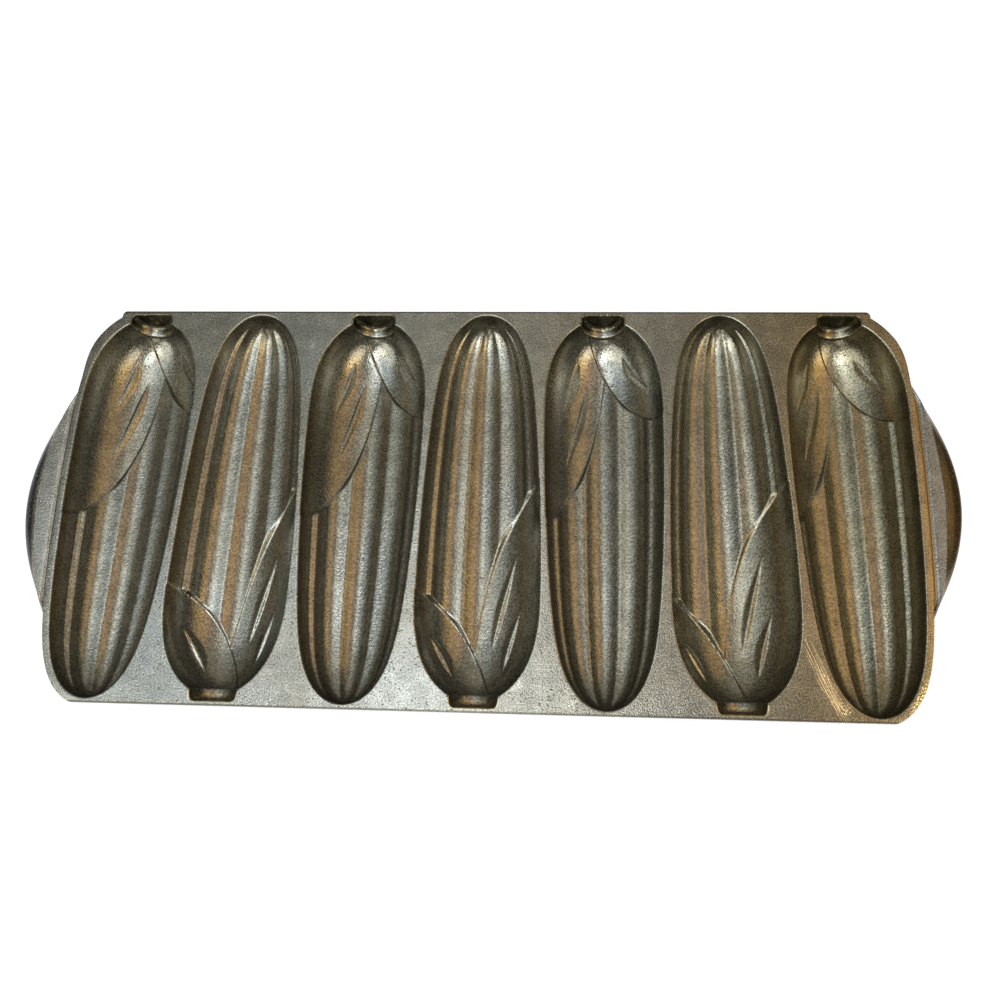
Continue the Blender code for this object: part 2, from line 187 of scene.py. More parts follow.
# %% Flutes and crests
FLUTE_ANGLE = math.radians(38.6)
CREST_ANGLES = FLUTE_ANGLE * np.array([-1.5, -0.5, 0.5, 1.5])
CREST_HEIGHTS = np.array([0.060, 0.085, 0.085, 0.060])
CREST_ROUNDING = 0.054
CREST_OUTER_REACH = math.radians(8.0)
CREST_TIP_FADE = 4.5 * MM
CREST_LEAF_FADE = 0.8 * MM
CREST_UNDER_LEAF = 0.25


def crest_rise(angle):
    """How far the crests rise, as a share of the radius. The outer two fall off soon to the
    plain wall."""
    apart = np.abs(angle[:, None] - CREST_ANGLES[None, :])
    nearest, away = apart.argmin(axis=1), apart.min(axis=1)
    reach = np.where(np.abs(angle) > CREST_ANGLES[-1], CREST_OUTER_REACH, 0.5 * FLUTE_ANGLE)
    blunt = np.hypot(away, CREST_ROUNDING) / np.hypot(reach, CREST_ROUNDING)
    top = 1.0 - np.sin(0.5 * np.pi * CREST_ROUNDING / np.hypot(reach, CREST_ROUNDING))
    share = (1.0 - np.sin(0.5 * np.pi * np.minimum(blunt, 1.0))) / top
    return CREST_HEIGHTS[nearest] * np.where(away < reach, share, 0.0)


def smooth_step(x):
    x = np.clip(x, 0.0, 1.0)
    return x * x * (3.0 - 2.0 * x)


print("crests:", len(CREST_ANGLES), "of up to", round(CREST_HEIGHTS.max() * EAR_DEPTH / MM, 2), "mm")

# %% Husk leaves
# Each leaf's edge: the four control points of its curve, in mm in the plan of the ear.
LARGE_LEAF = np.array([(22.5, 9.8), (6.0, -9.0), (1.5, -28.0), (-1.5, -54.0)]) * MM
SMALL_LEAF = np.array([(-23.5, -33.0), (-13.0, -35.0), (-1.0, -50.0), (5.0, -70.5)]) * MM
LARGE_LEAF_DROP = 0.45 * MM
SMALL_LEAF_DROP = 0.9 * MM
LEAF_RIM_STEP = 0.25 * MM
LEAF_EDGE_WIDTH = 0.5 * MM
LEAF_EDGE_POINTS = 60


def bezier(points, count):
    """Points along the cubic curve that four control points give."""
    first, second, third, last = points
    t = np.linspace(0.0, 1.0, count)[:, None]
    s = 1.0 - t
    return first * s ** 3 + 3.0 * second * s * s * t + 3.0 * third * s * t * t + last * t ** 3


def inside_leaf(x, y, edge_points, side):
    """Distance from a leaf's edge, above zero on the leaf and below it elsewhere."""
    curve = bezier(edge_points, LEAF_EDGE_POINTS)
    distance = np.full(len(x), np.inf)
    for start, end in zip(curve, curve[1:]):
        step_x, step_y = end - start
        off_x, off_y = x - start[0], y - start[1]
        share = (off_x * step_x + off_y * step_y) / (step_x ** 2 + step_y ** 2)
        share = np.clip(share, 0.0, 1.0)
        distance = np.minimum(distance, np.hypot(off_x - share * step_x, off_y - share * step_y))
    edge_x = np.interp(y, curve[::-1, 1], curve[::-1, 0])
    inside = (side * (x - edge_x) > 0.0) & (y < curve[0, 1])
    return np.where(inside, distance, -distance)


def leaf_cover(signed):
    """0 outside a leaf and 1 on it, with a narrow soft step along its edge."""
    return smooth_step(0.5 + signed / LEAF_EDGE_WIDTH)


edge_length = np.linalg.norm(np.diff(bezier(LARGE_LEAF, LEAF_EDGE_POINTS), axis=0), axis=1).sum()
print("large leaf's edge:", round(edge_length / MM, 1), "mm long")

# %% Veins
# Each vein: its start, its end and its height, in mm in the plan of the ear.
VEINS = (
    ((13.5, -15.8), (4.8, -52.1), 0.90),
    ((15.1, -37.0), (8.8, -60.2), 0.80),
    ((-18.2, -46.2), (-8.4, -62.6), 0.70),
)
VEIN_STEEP = 1.0 * MM
VEIN_GENTLE = 2.9 * MM
VEIN_LEAN = 1.35
VEIN_POINT = 0.15


def vein_rise(x, y):
    """How far the veins stand above their leaf; each is fullest a little past its middle."""
    rise = np.zeros(len(x))
    for start, end, height in VEINS:
        a, b = np.array(start) * MM, np.array(end) * MM
        along = b - a
        length = np.hypot(*along)
        along /= length
        share = np.clip(((x - a[0]) * along[0] + (y - a[1]) * along[1]) / length, 0.0, 1.0)
        lens = np.sin(np.pi * share ** VEIN_LEAN)
        towards_middle = -np.sign(a[0])
        across = (x - a[0]) * -along[1] + (y - a[1]) * along[0]
        across *= towards_middle * np.sign(-along[1])
        half = np.where(across > 0.0, VEIN_GENTLE, VEIN_STEEP)
        half *= VEIN_POINT + (1.0 - VEIN_POINT) * lens
        rise += height * MM * lens * (1.0 - smooth_step(np.abs(across) / half))
    return rise


print("veins:", len(VEINS))

# %% [markdown]
# ## The mould's surface
# A grid gives the mould's skin: its columns run round the section from rim to rim and its
# rows along the path. The first and the last row each shrink to a point, and merging those
# points closes the tip and the stem's end wall. The skin stops just under the deck, and its
# edge is then extruded ring by ring round the rim, because a cast edge is never sharp.

# %% Place every point of the mould's skin
COLUMNS = 216
RIM_ROUND = 0.6 * MM
RIM_FLAT = 0.3 * MM
PLAN_SHRINK = 0.25 * MM
END_WALL_DRAFT = 0.12
# Where the relief dies away: at the stem, on a narrow ear, by the rim, and towards the butt.
STEM_FADE = 0.3 * MM
LEAF_ROOM = 8.0 * MM
LEAF_RIM_SHARE = 0.14
LEAF_THINNING = 0.5
LEAF_THINS_FROM = -20.0 * MM
LEAF_THINS_OVER = 30.0 * MM


def mould_points(side, row):
    """Points for side -1 to 1 across the mould and row 0 to 1 along it, Z from the deck's top."""
    index = row * ROWS
    steps = np.arange(ROWS + 1)
    y, width, depth = (np.interp(index, steps, mould_path[:, k]) for k in range(3))
    angle = 0.5 * np.pi * side
    on_stem = smooth_step((LIP_Y + STEM_FADE - y) / STEM_FADE)
    plan_x = width * np.sin(angle)
    large_signed = inside_leaf(plan_x, y, LARGE_LEAF, 1)
    small_signed = inside_leaf(plan_x, y, SMALL_LEAF, -1)
    large = leaf_cover(large_signed) * (1.0 - on_stem)
    small = leaf_cover(small_signed) * (1.0 - on_stem)
    leaf = np.maximum(large, small)
    leaf_room = smooth_step(width / LEAF_ROOM)
    below_rim = smooth_step((1.0 - np.abs(side)) / LEAF_RIM_SHARE)
    thinned = 1.0 - LEAF_THINNING * smooth_step((LEAF_THINS_FROM - y) / LEAF_THINS_OVER)
    drop = large * (1.0 - small) * LARGE_LEAF_DROP * thinned + small * SMALL_LEAF_DROP
    drop *= leaf_room * below_rim
    fade = smooth_step((TIP_Y - y) / CREST_TIP_FADE) * (1.0 - leaf) * (1.0 - on_stem)
    into_leaf = np.maximum(large_signed, small_signed) / CREST_LEAF_FADE
    fade *= smooth_step(CREST_UNDER_LEAF - into_leaf)
    radius = 1.0 - fade * crest_rise(angle)
    bulge = LEAF_RIM_STEP * leaf * leaf_room
    x = (width * radius + bulge) * np.sin(angle)
    z = -(depth * radius + drop) * np.cos(angle)
    rise = vein_rise(plan_x, y) * leaf
    x -= rise * np.sin(angle)
    z += rise * np.cos(angle)
    x *= 1.0 - PLAN_SHRINK / EAR_HALF_WIDTH
    y = y * (1.0 - PLAN_SHRINK / TIP_Y) - END_WALL_DRAFT * z * on_stem
    z = -RIM_ROUND + z * (1.0 - RIM_ROUND / EAR_DEPTH)
    return np.column_stack([x, y, z])


# %% Grids and rings


def grid_mesh(columns, rows, place):
    """A bmesh grid whose points are moved by a function of their two shares."""
    bm = bmesh.new()
    bmesh.ops.create_grid(bm, x_segments=columns, y_segments=rows, size=1.0)
    flat = np.array([v.co[:2] for v in bm.verts])
    for vert, point in zip(bm.verts, place(flat[:, 0], 0.5 * (flat[:, 1] + 1.0))):
        vert.co = point
    return bm


def boundary_loop(bm):
    """The open edge's vertices in order."""
    edges = [e for e in bm.edges if e.is_boundary]
    start = edges[0].verts[0]
    loop, previous = [start], None
    while True:
        ahead = next(e for e in loop[-1].link_edges if e.is_boundary and e is not previous)
        following = ahead.other_vert(loop[-1])
        if following is start:
            return loop
        loop.append(following)
        previous = ahead


def outward(loop):
    """Unit normals in plan of a closed loop of points, pointing away from its inside."""
    ahead, behind = np.roll(loop, -1, axis=0), np.roll(loop, 1, axis=0)
    tangent = ahead[:, :2] - behind[:, :2]
    normal = np.column_stack([tangent[:, 1], -tangent[:, 0]])
    normal /= np.linalg.norm(normal, axis=1)[:, None]
    area = np.sum(loop[:, 0] * ahead[:, 1] - ahead[:, 0] * loop[:, 1])
    return normal * math.copysign(1.0, area)


def extrude_ring(bm, loop, points):
    """Extrude a closed edge loop and put its copy at the given points."""
    edges = [bm.edges.get((a, b)) for a, b in zip(loop, loop[1:] + loop[:1])]
    made = bmesh.ops.extrude_edge_only(bm, edges=edges)["geom"]
    fresh = {v for v in made if isinstance(v, bmesh.types.BMVert)}
    ring = []
    for vert, point in zip(loop, points):
        copy = next(e.other_vert(vert) for e in vert.link_edges if e.other_vert(vert) in fresh)
        copy.co = point
        ring.append(copy)
    return ring


# %% One mould with its rim
RIM_STEPS = 4
POLE_SIZE = 0.004 * MM
SHORTEST_EDGE = 0.002 * MM


def mould_with_rim():
    """The mould's skin, its rounded rim and the collar that passes through the deck."""
    bm = grid_mesh(COLUMNS, ROWS, mould_points)
    bmesh.ops.remove_doubles(bm, verts=bm.verts, dist=POLE_SIZE)
    bmesh.ops.dissolve_degenerate(bm, edges=bm.edges, dist=SHORTEST_EDGE)
    loop = boundary_loop(bm)
    base = np.array([v.co for v in loop])
    normal = outward(base)
    for k in range(1, RIM_STEPS + 1):
        turn = 0.5 * math.pi * k / RIM_STEPS
        plan = base[:, :2] + normal * RIM_ROUND * (1.0 - math.cos(turn))
        height = np.full(len(base), RIM_ROUND * (math.sin(turn) - 1.0))
        loop = extrude_ring(bm, loop, np.column_stack([plan, height]))
    plan = base[:, :2] + normal * (RIM_ROUND + RIM_FLAT)
    collar = np.column_stack([plan, np.zeros(len(base))])
    loop = extrude_ring(bm, loop, collar)
    extrude_ring(bm, loop, collar - [0.0, 0.0, DECK_THICKNESS])
    return bm, collar


mould, collar_outline = mould_with_rim()
print("mould:", len(mould.faces), "faces, rim of", len(collar_outline), "points")

# %% [markdown]
# ## The bellies under the deck
# From below the casting is one skin: each belly swells down out of the deck with a soft
# fillet, and neighbours run together in a rounded valley. That is a height field, so a
# grid over each ear's own strip is dropped by a smooth maximum of all the forms that
# reach into the strip. The strips meet halfway between two moulds.

# %% Depth of the underside
RIM_FLARE = 2.0 * MM
RIM_FLARE_START = 13.0 * MM
RIM_FLARE_LENGTH = 18.0 * MM
STEM_WALL_RADIUS = STEM_LIP_RADIUS + STEM_WALL
STEM_SQUARENESS = 6
UNDERSIDE_BLEND = 4.0 * MM
HIDDEN_DEPTH = 2.5 * MM
# How fast a form sinks away beyond its own edge, and the least half-width it counts with.
BELLY_FALL = 3.0
STEM_FALL = 5.0 * MM
LEAST_HALF_WIDTH = 0.5 * MM


def plan_offset(distance_x, distance_y, flare=0.0):
    """(y, half-width) of the ear's outline grown by a wall, from the stem's end to the tip."""
    path = ear_path()
    tangent = np.gradient(path[:, :2], axis=0)
    tangent /= np.linalg.norm(tangent, axis=1)[:, None]
    widen = flare * smooth_step((WIDEST_Y - RIM_FLARE_START - path[:, 0]) / RIM_FLARE_LENGTH)
    y = path[:, 0] + tangent[:, 1] * (distance_y + widen)
    width = path[:, 1] - tangent[:, 0] * (distance_x + widen)
    return y[::-1], width[::-1]


belly_y, belly_width = plan_offset(SIDE_WALL, END_WALL)


def belly_depth(x, y):
    """Depth of one belly under the deck's top in the ear's own frame, negative beyond it."""
    width = np.interp(y, belly_y, belly_width, left=LEAST_HALF_WIDTH, right=LEAST_HALF_WIDTH)
    deep = (EAR_DEPTH + BELLY_WALL) * (width / (EAR_HALF_WIDTH + SIDE_WALL)) ** DEPTH_POWER
    share = np.abs(x) / width
    bowl = deep * np.sqrt(np.maximum(1.0 - share ** 2, 0.0))
    belly = np.where(share < 1.0, bowl, (width - np.abs(x)) * BELLY_FALL)
    along = np.abs(y - LIP_Y) / (END_WALL + STEM_LENGTH)
    across = np.abs(x) / STEM_WALL_RADIUS
    left = 1.0 - across ** 2 - along ** STEM_SQUARENESS
    trough = STEM_WALL_RADIUS * np.sqrt(np.maximum(left, 0.0))
    return np.maximum(belly, np.where(left > 0.0, trough, left * STEM_FALL))


def smooth_max(a, b, blend):
    near = np.maximum(blend - np.abs(a - b), 0.0) / blend
    return np.maximum(a, b) + near * near * blend * 0.25


def underside_depth(x, y, has_left, has_right):
    """Depth of the casting's skin round one ear, in the ear's own frame."""
    depth = smooth_max(belly_depth(x, y), np.full(len(x), HIDDEN_DEPTH), UNDERSIDE_BLEND)
    for present, shift in ((has_left, -EAR_PITCH), (has_right, EAR_PITCH)):
        if present:
            depth = smooth_max(depth, belly_depth(shift - x, -y), UNDERSIDE_BLEND)
    return np.minimum(depth, EAR_DEPTH + BELLY_WALL - FOOT_FLAT)


print("belly: half-width up to", round(belly_width.max() / MM, 2), "mm")

# %% A strip of underside, closed up to the deck
UNDER_COLUMNS = 90
UNDER_ROWS = 210
SAME_PLACE = 0.0001 * MM
path_y, path_width = mould_path[::-1, 0], mould_path[::-1, 1]
rim_y, rim_width = plan_offset(SIDE_WALL, SIDE_WALL, RIM_FLARE)


def strip_side(y, shared):
    """How far an ear's strip reaches sideways: halfway to its neighbour, or to the rim."""
    if shared:
        own = np.interp(y, path_y, path_width)
        other = np.interp(-y, path_y, path_width)
        return 0.5 * (EAR_PITCH + own - other)
    return np.maximum(np.interp(y, belly_y, belly_width), STEM_WALL_RADIUS)


def underside_strip(has_left, has_right):
    """One ear's share of the underside, with straight walls up to the deck."""
    def place(side, row):
        y = DECK_HALF_DEPTH * (2.0 * row - 1.0)
        reach = np.where(side < 0.0, strip_side(y, has_left), strip_side(y, has_right))
        x = np.sin(0.5 * np.pi * side) * reach
        return np.column_stack([x, y, -underside_depth(x, y, has_left, has_right)])

    bm = grid_mesh(UNDER_COLUMNS, UNDER_ROWS, place)
    edge = [e for e in bm.edges if e.is_boundary]
    made = bmesh.ops.extrude_edge_only(bm, edges=edge)["geom"]
    for vert in made:
        if isinstance(vert, bmesh.types.BMVert):
            vert.co.z = 0.0
    everything = [*bm.verts, *bm.edges, *bm.faces]
    bmesh.ops.bisect_plane(bm, geom=everything, dist=SAME_PLACE, clear_outer=True,
                           plane_co=(0.0, 0.0, -DECK_THICKNESS), plane_no=(0.0, 0.0, 1.0))
    return bm


# %% [markdown]
# ## Seven ears
# The pattern maker cut one ear and used it seven times, turned end for end from one mould
# to the next. So the mould's skin is copied, joined to its strip of underside by a flat ring
# against the deck, and each ear's place goes straight into its mesh.

# %% Helpers for finished pieces


def add_bmesh(bm, other):
    """Copy another bmesh into bm."""
    spare = bpy.data.meshes.new("spare")
    other.to_mesh(spare)
    bm.from_mesh(spare)
    bpy.data.meshes.remove(spare)


def finish_piece(name, bm, node, sharp_degrees):
    """Make an object that stands for a node, with smooth faces and crisp edges."""
    bmesh.ops.recalc_face_normals(bm, faces=bm.faces)
    open_edges = sum(not e.is_manifold for e in bm.edges)
    mesh = bpy.data.meshes.new(name)
    bm.to_mesh(mesh)
    bm.free()
    mesh.shade_smooth()
    mesh.set_sharp_from_angle(angle=math.radians(sharp_degrees))
    piece = bpy.data.objects.new(name, mesh)
    bpy.context.scene.collection.objects.link(piece)
    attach(piece, "root")
    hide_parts(node)
    triangles = sum(len(p.vertices) - 2 for p in mesh.polygons)
    print(f"{name}: {triangles} triangles, {open_edges} open edges")
    return piece


# %% Build and place the ears


def ear_x(index):
    return index * EAR_PITCH - ROW_HALF


def is_turned(index):
    """Every second ear, from the first one on, has its stem on the far side."""
    return index % 2 == 0


def ear_place(index):
    turn = Matrix.Rotation(math.pi if is_turned(index) else 0.0, 4, "Z")
    return Matrix.Translation((ear_x(index), 0.0, DECK_TOP)) @ turn


ears = []
for index in range(EAR_COUNT):
    has_left, has_right = index > 0, index < EAR_COUNT - 1
    if is_turned(index):
        has_left, has_right = has_right, has_left
    ear = bmesh.new()
    add_bmesh(ear, mould)
    strip = underside_strip(has_left, has_right)
    add_bmesh(ear, strip)
    strip.free()
    seam = [e for e in ear.edges if e.is_boundary]
    bmesh.ops.triangle_fill(ear, edges=seam, use_beauty=True)
    bmesh.ops.transform(ear, matrix=ear_place(index), verts=ear.verts)
    number = index + 1
    ears.append(finish_piece(f"ear_{number}", ear, f"ear_cup_{number}", sharp_degrees=50.0))

# %% [markdown]
# ## The deck
# The deck is a flat plate. Its long sides are straight, its ends follow the outer ears and
# run out in small square tabs beside the far stems. The outline and the seven collars are
# filled as one face with holes, extruded down, and rounded along the outer edge.

# %% The deck's outline
TAB_SIDE = 1.5 * MM
CORNER_ROUND = 1.6 * MM
DECK_EDGE_ROUND = 0.7 * MM
DECK_FOOT_ROUND = 0.4 * MM
ROUND_STEPS = 6
RIM_THINNING = 3


def tab_corner(x, y):
    """A quarter round from the end side of a tab to the far edge."""
    turns = 0.5 * np.pi * np.linspace(0.0, 1.0, ROUND_STEPS + 1)
    return np.column_stack([x - CORNER_ROUND * (1.0 - np.cos(turns)),
                            y - CORNER_ROUND * (1.0 - np.sin(turns))])


def deck_outline():
    """Half outline from the near edge round the end to the far edge, then its mirror image.
    The outer ears are turned ones, so their rim's Y changes its sign."""
    x, y = rim_width, -rim_y
    tab_x = x[0] + TAB_SIDE
    keep = (y > -DECK_HALF_DEPTH) & ((y < 0.0) | (x > tab_x))
    side = np.column_stack([x[keep], y[keep]])
    side = side[np.argsort(side[:, 1])][::RIM_THINNING]
    near_x = np.interp(DECK_HALF_DEPTH, rim_y, rim_width)
    right = np.vstack([[near_x, -DECK_HALF_DEPTH], side, tab_corner(tab_x, DECK_HALF_DEPTH)])
    right += [ROW_HALF, 0.0]
    return np.vstack([right, right[::-1] * [-1.0, 1.0]])


outline = deck_outline()
print("deck's outline:", len(outline), "points")

# %% Fill and thicken the deck


def add_loop(bm, points):
    verts = [bm.verts.new((x, y, 0.0)) for x, y in points]
    return [bm.edges.new(pair) for pair in zip(verts, verts[1:] + verts[:1])]


deck = bmesh.new()
outer_edges = add_loop(deck, outline)
outline_verts = {v for e in outer_edges for v in e.verts}
hole_edges = []
for index in range(EAR_COUNT):
    facing = -1.0 if is_turned(index) else 1.0
    hole_edges += add_loop(deck, collar_outline[:, :2] * facing + [ear_x(index), 0.0])
bmesh.ops.triangle_fill(deck, edges=outer_edges + hole_edges, use_beauty=True)
extruded = bmesh.ops.extrude_face_region(deck, geom=list(deck.faces))["geom"]
lower_verts = [v for v in extruded if isinstance(v, bmesh.types.BMVert)]
bmesh.ops.translate(deck, vec=(0.0, 0.0, -DECK_THICKNESS), verts=lower_verts)
print("deck's holes:", EAR_COUNT, "of", len(hole_edges) // EAR_COUNT, "edges")

# %% Round the deck's edges
CORNER_ANGLE = 1.0
BEVEL_SEGMENTS = 4


def ring_edges(verts):
    """Edges between outline vertices where a wall meets a flat face."""
    return [e for e in deck.edges if set(e.verts) <= verts and e.calc_face_angle(0.0) > CORNER_ANGLE]


lower_outline = {e.other_vert(v) for v in outline_verts for e in v.link_edges} & set(lower_verts)
rings = [(ring_edges(outline_verts), DECK_EDGE_ROUND), (ring_edges(lower_outline), DECK_FOOT_ROUND)]
for ring, size in rings:
    bmesh.ops.bevel(deck, geom=ring, offset=size, offset_type="OFFSET", segments=BEVEL_SEGMENTS,
                    profile=0.5, affect="EDGES", clamp_overlap=True, material=-1)
bmesh.ops.translate(deck, vec=(0.0, 0.0, DECK_TOP), verts=deck.verts)
deck_piece = finish_piece("deck", deck, "deck_plate", sharp_degrees=40.0)

# %% [markdown]
# ## The grips
# Each grip is a half-moon cast a little below the deck's face. A groove and a small bead run
# along the rim. Then comes a flat face, a broad band that slopes down, and a wide soft rounding
# that a hand can hold. One section is drawn as a few corner points, its corners are cut until
# they are round, and a grid carries it along the grip. Its inner end is buried in the deck's
# rim. The two grips differ a little in place and in the width of their bands.

# %% Section of a grip
grip_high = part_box("grip_right")[1]
GRIP_OUT = grip_high.x - ROW_HALF
GRIP_TOP = grip_high.z - DECK_TOP
GRIP_FULL_REACH = 13.4 * MM
GRIP_CURVE = 0.0080 / MM
GRIP_END = 48.0 * MM
LEFT_GRIP_MIDDLE = 0.5 * MM
RIGHT_GRIP_MIDDLE = 4.5 * MM
LEFT_GRIP_BAND = 0.75
RIGHT_GRIP_BAND = 1.0
GRIP_BAND_POWER = 1.5
CORNER_CUTS = 3
# Each corner: how much it follows the outer edge, its inset from there and its place out from
# the rim in mm, and its height in mm. The insets are for a band of width 1.
GRIP_BEAD = [(0.0, 0.0, -1.2, 0.6), (0.0, 0.0, 0.0, 0.6), (0.0, 0.0, 0.0, -0.75),
             (0.0, 0.0, 0.45, -0.8), (0.0, 0.0, 0.75, -0.44), (0.0, 0.0, 1.05, -0.42),
             (0.0, 0.0, 1.4, -0.62), (0.0, 0.0, 2.1, -0.3)]
GRIP_FACE = [(0.0, 0.0, 2.8, -0.02), (1.0, 7.4, 0.0, 0.0), (1.0, 6.9, 0.0, -0.02)]
GRIP_SLOPE = [(1.0, 6.5, 0.0, -0.2), (1.0, 4.6, 0.0, -0.7), (1.0, 3.0, 0.0, -1.2)]
GRIP_ROUNDING = [(1.0, 0.6, 0.0, -2.2), (1.0, 0.0, 0.0, -3.2), (1.0, 0.5, 0.0, -4.1)]
GRIP_BELOW = [(1.0, 2.0, 0.0, -4.98), (1.0, 5.0, 0.0, -5.0), (0.0, 0.0, -1.2, -5.0)]
GRIP_BACK = [(0.0, 0.0, -1.2, -2.0), (0.0, 0.0, -1.2, 0.6)]


def round_corners(points, cuts):
    """Cut every corner of an open line of points again and again."""
    for _ in range(cuts):
        near = 0.75 * points[:-1] + 0.25 * points[1:]
        far = 0.25 * points[:-1] + 0.75 * points[1:]
        cut = np.stack([near, far], axis=1).reshape(-1, points.shape[1])
        points = np.vstack([points[:1], cut, points[-1:]])
    return points


grip_corners = GRIP_BEAD + GRIP_FACE + GRIP_SLOPE + GRIP_ROUNDING + GRIP_BELOW + GRIP_BACK
grip_section = round_corners(np.array(grip_corners), CORNER_CUTS)
print("grip section:", len(grip_section), "points")

# %% Carry the section along the grip
GRIP_ROWS = 180
GRIP_BURIED = 0.6 * MM
GRIP_END_BLEND = 2.5 * MM
# The bead and the full depth are there from these shares of the full reach on.
BEAD_FROM = 0.35
FULL_DEPTH_FROM = 0.25
END_DEPTH_SHARE = 0.4


def grip_edge(along, rim):
    """Where the outer edge runs: a parabola that flows into the deck's rim at both ends."""
    return smooth_max(GRIP_OUT - GRIP_CURVE * along * along, rim - GRIP_BURIED, GRIP_END_BLEND)


def grip_points(side, row, middle, band):
    """Points for side -1 to 1 round the section and row 0 to 1 along the grip."""
    along = GRIP_END * (2.0 * row - 1.0)
    y = along + middle
    rim = np.interp(-y, rim_y, rim_width)
    reach = grip_edge(along, rim) - rim
    size = np.clip(reach / GRIP_FULL_REACH, 0.0, 1.0)
    places = np.arange(len(grip_section))
    column = 0.5 * (side + 1.0) * places[-1]
    follow, inset, offset, height = (np.interp(column, places, values) for values in grip_section.T)
    offset *= np.where(offset > 0.0, smooth_step(size / BEAD_FROM), 1.0)
    x = rim + follow * (reach - band * inset * MM * size ** GRIP_BAND_POWER) + offset * MM
    depth_share = END_DEPTH_SHARE + (1.0 - END_DEPTH_SHARE) * smooth_step(size / FULL_DEPTH_FROM)
    z = GRIP_TOP + height * MM * np.where(height < 0.0, depth_share, 1.0)
    return np.column_stack([x, y, z])


def make_grip(name, side, middle, band, node):
    """A closed grip for side -1 on the left or 1 on the right."""
    def place(across, row):
        return grip_points(across, row, middle, band)

    bm = grid_mesh(len(grip_section) - 1, GRIP_ROWS, place)
    seam = [v for v in bm.verts if v.is_boundary]
    bmesh.ops.remove_doubles(bm, verts=seam, dist=SAME_PLACE)
    bmesh.ops.holes_fill(bm, edges=[e for e in bm.edges if e.is_boundary], sides=0)
    bmesh.ops.scale(bm, vec=(side, 1.0, 1.0), verts=bm.verts)
    bmesh.ops.translate(bm, vec=(side * ROW_HALF, 0.0, DECK_TOP), verts=bm.verts)
    return finish_piece(name, bm, node, sharp_degrees=40.0)


grips = [make_grip("left_grip", -1.0, LEFT_GRIP_MIDDLE, LEFT_GRIP_BAND, "grip_left"),
         make_grip("right_grip", 1.0, RIGHT_GRIP_MIDDLE, RIGHT_GRIP_BAND, "grip_right")]

# %% [markdown]
# ## Cast iron
# The pan is one casting, so one recipe makes all three finishes and only its numbers change.
# Sand leaves a fine grain with a few pits in it, and the whole face is a little uneven.
# Years of baked-on oil tint it in brown and grey patches and make some places duller than
# others. Everything is mixed from noise on Object coordinates, which run on from one piece to
# the next, so no seam shows where the deck meets an ear.

# %% Small helpers for building a material


def feed(tree, socket, value):
    """Set a socket to another socket's value, a plain number or a plain colour."""
    if isinstance(value, bpy.types.NodeSocket):
        tree.links.new(value, socket)
    else:
        socket.default_value = (*value, 1.0) if socket.type == "RGBA" else value


def add_node(tree, kind, **inputs):
    """A new node with some inputs fed; an underscore stands for the space in an input's name."""
    node = tree.nodes.new("ShaderNode" + kind)
    for name, value in inputs.items():
        feed(tree, node.inputs[name.replace("_", " ")], value)
    return node


def noise(tree, place, scale, detail=2.0, roughness=0.5, distortion=0.0):
    """A noise texture's grey value, with its scale given in features per metre."""
    return add_node(tree, "TexNoise", Vector=place, Scale=scale, Detail=detail,
                    Roughness=roughness, Distortion=distortion).outputs["Fac"]


def ramp(tree, value, low, high, start=0.0, end=1.0):
    """Map a value from low..high to start..end, smoothly and clamped."""
    node = add_node(tree, "MapRange", Value=value, From_Min=low, From_Max=high, To_Min=start, To_Max=end)
    node.interpolation_type = "SMOOTHSTEP"
    return node.outputs["Result"]


def calculate(tree, operation, a, b=0.0):
    """One sum; each side is a socket or a plain number."""
    node = add_node(tree, "Math")
    node.operation = operation
    feed(tree, node.inputs[0], a)
    feed(tree, node.inputs[1], b)
    return node.outputs["Value"]


def times(tree, a, b):
    return calculate(tree, "MULTIPLY", a, b)


def blend_colour(tree, share, a, b, mode="MIX"):
    """Mix two colours; each is a socket or a plain colour."""
    node = add_node(tree, "Mix")
    node.data_type = "RGBA"
    node.blend_type = mode
    factor = next(k for k in node.inputs if k.type == "VALUE")
    first, second = (k for k in node.inputs if k.type == "RGBA")
    for socket, value in ((factor, share), (first, a), (second, b)):
        feed(tree, socket, value)
    return next(k for k in node.outputs if k.type == "RGBA")


# %% The iron's recipe
LUMPS_PER_METRE = 170.0
LUMP_HEIGHT = 0.07 * MM
LUMP_SHARE_OF_MOTTLE = 0.4
PATCHES_PER_METRE = 26.0
PITS_PER_METRE = 750.0
PIT_FIELDS_PER_METRE = 140.0
PIT_DEPTH_IN_GRAINS = 0.8
PIT_SHADE = 0.5
SCRATCHES_PER_METRE = 75.0
SCRATCH_FINENESS = 0.007


def spread(tree, value, low, high, amount):
    """A factor round 1: 1 - amount where the value is low, 1 + amount where it is high."""
    return ramp(tree, value, low, high, 1.0 - amount, 1.0 + amount)


def hairlines(tree, place, scale, fineness):
    """Fine curved scratches: the places where a noise passes through its middle value."""
    off = calculate(tree, "SUBTRACT", noise(tree, place, scale, 1.0), 0.5)
    line = ramp(tree, calculate(tree, "ABSOLUTE", off), 0.0, fineness, 1.0, 0.0)
    return times(tree, line, ramp(tree, noise(tree, place, 0.7 * scale), 0.46, 0.60))


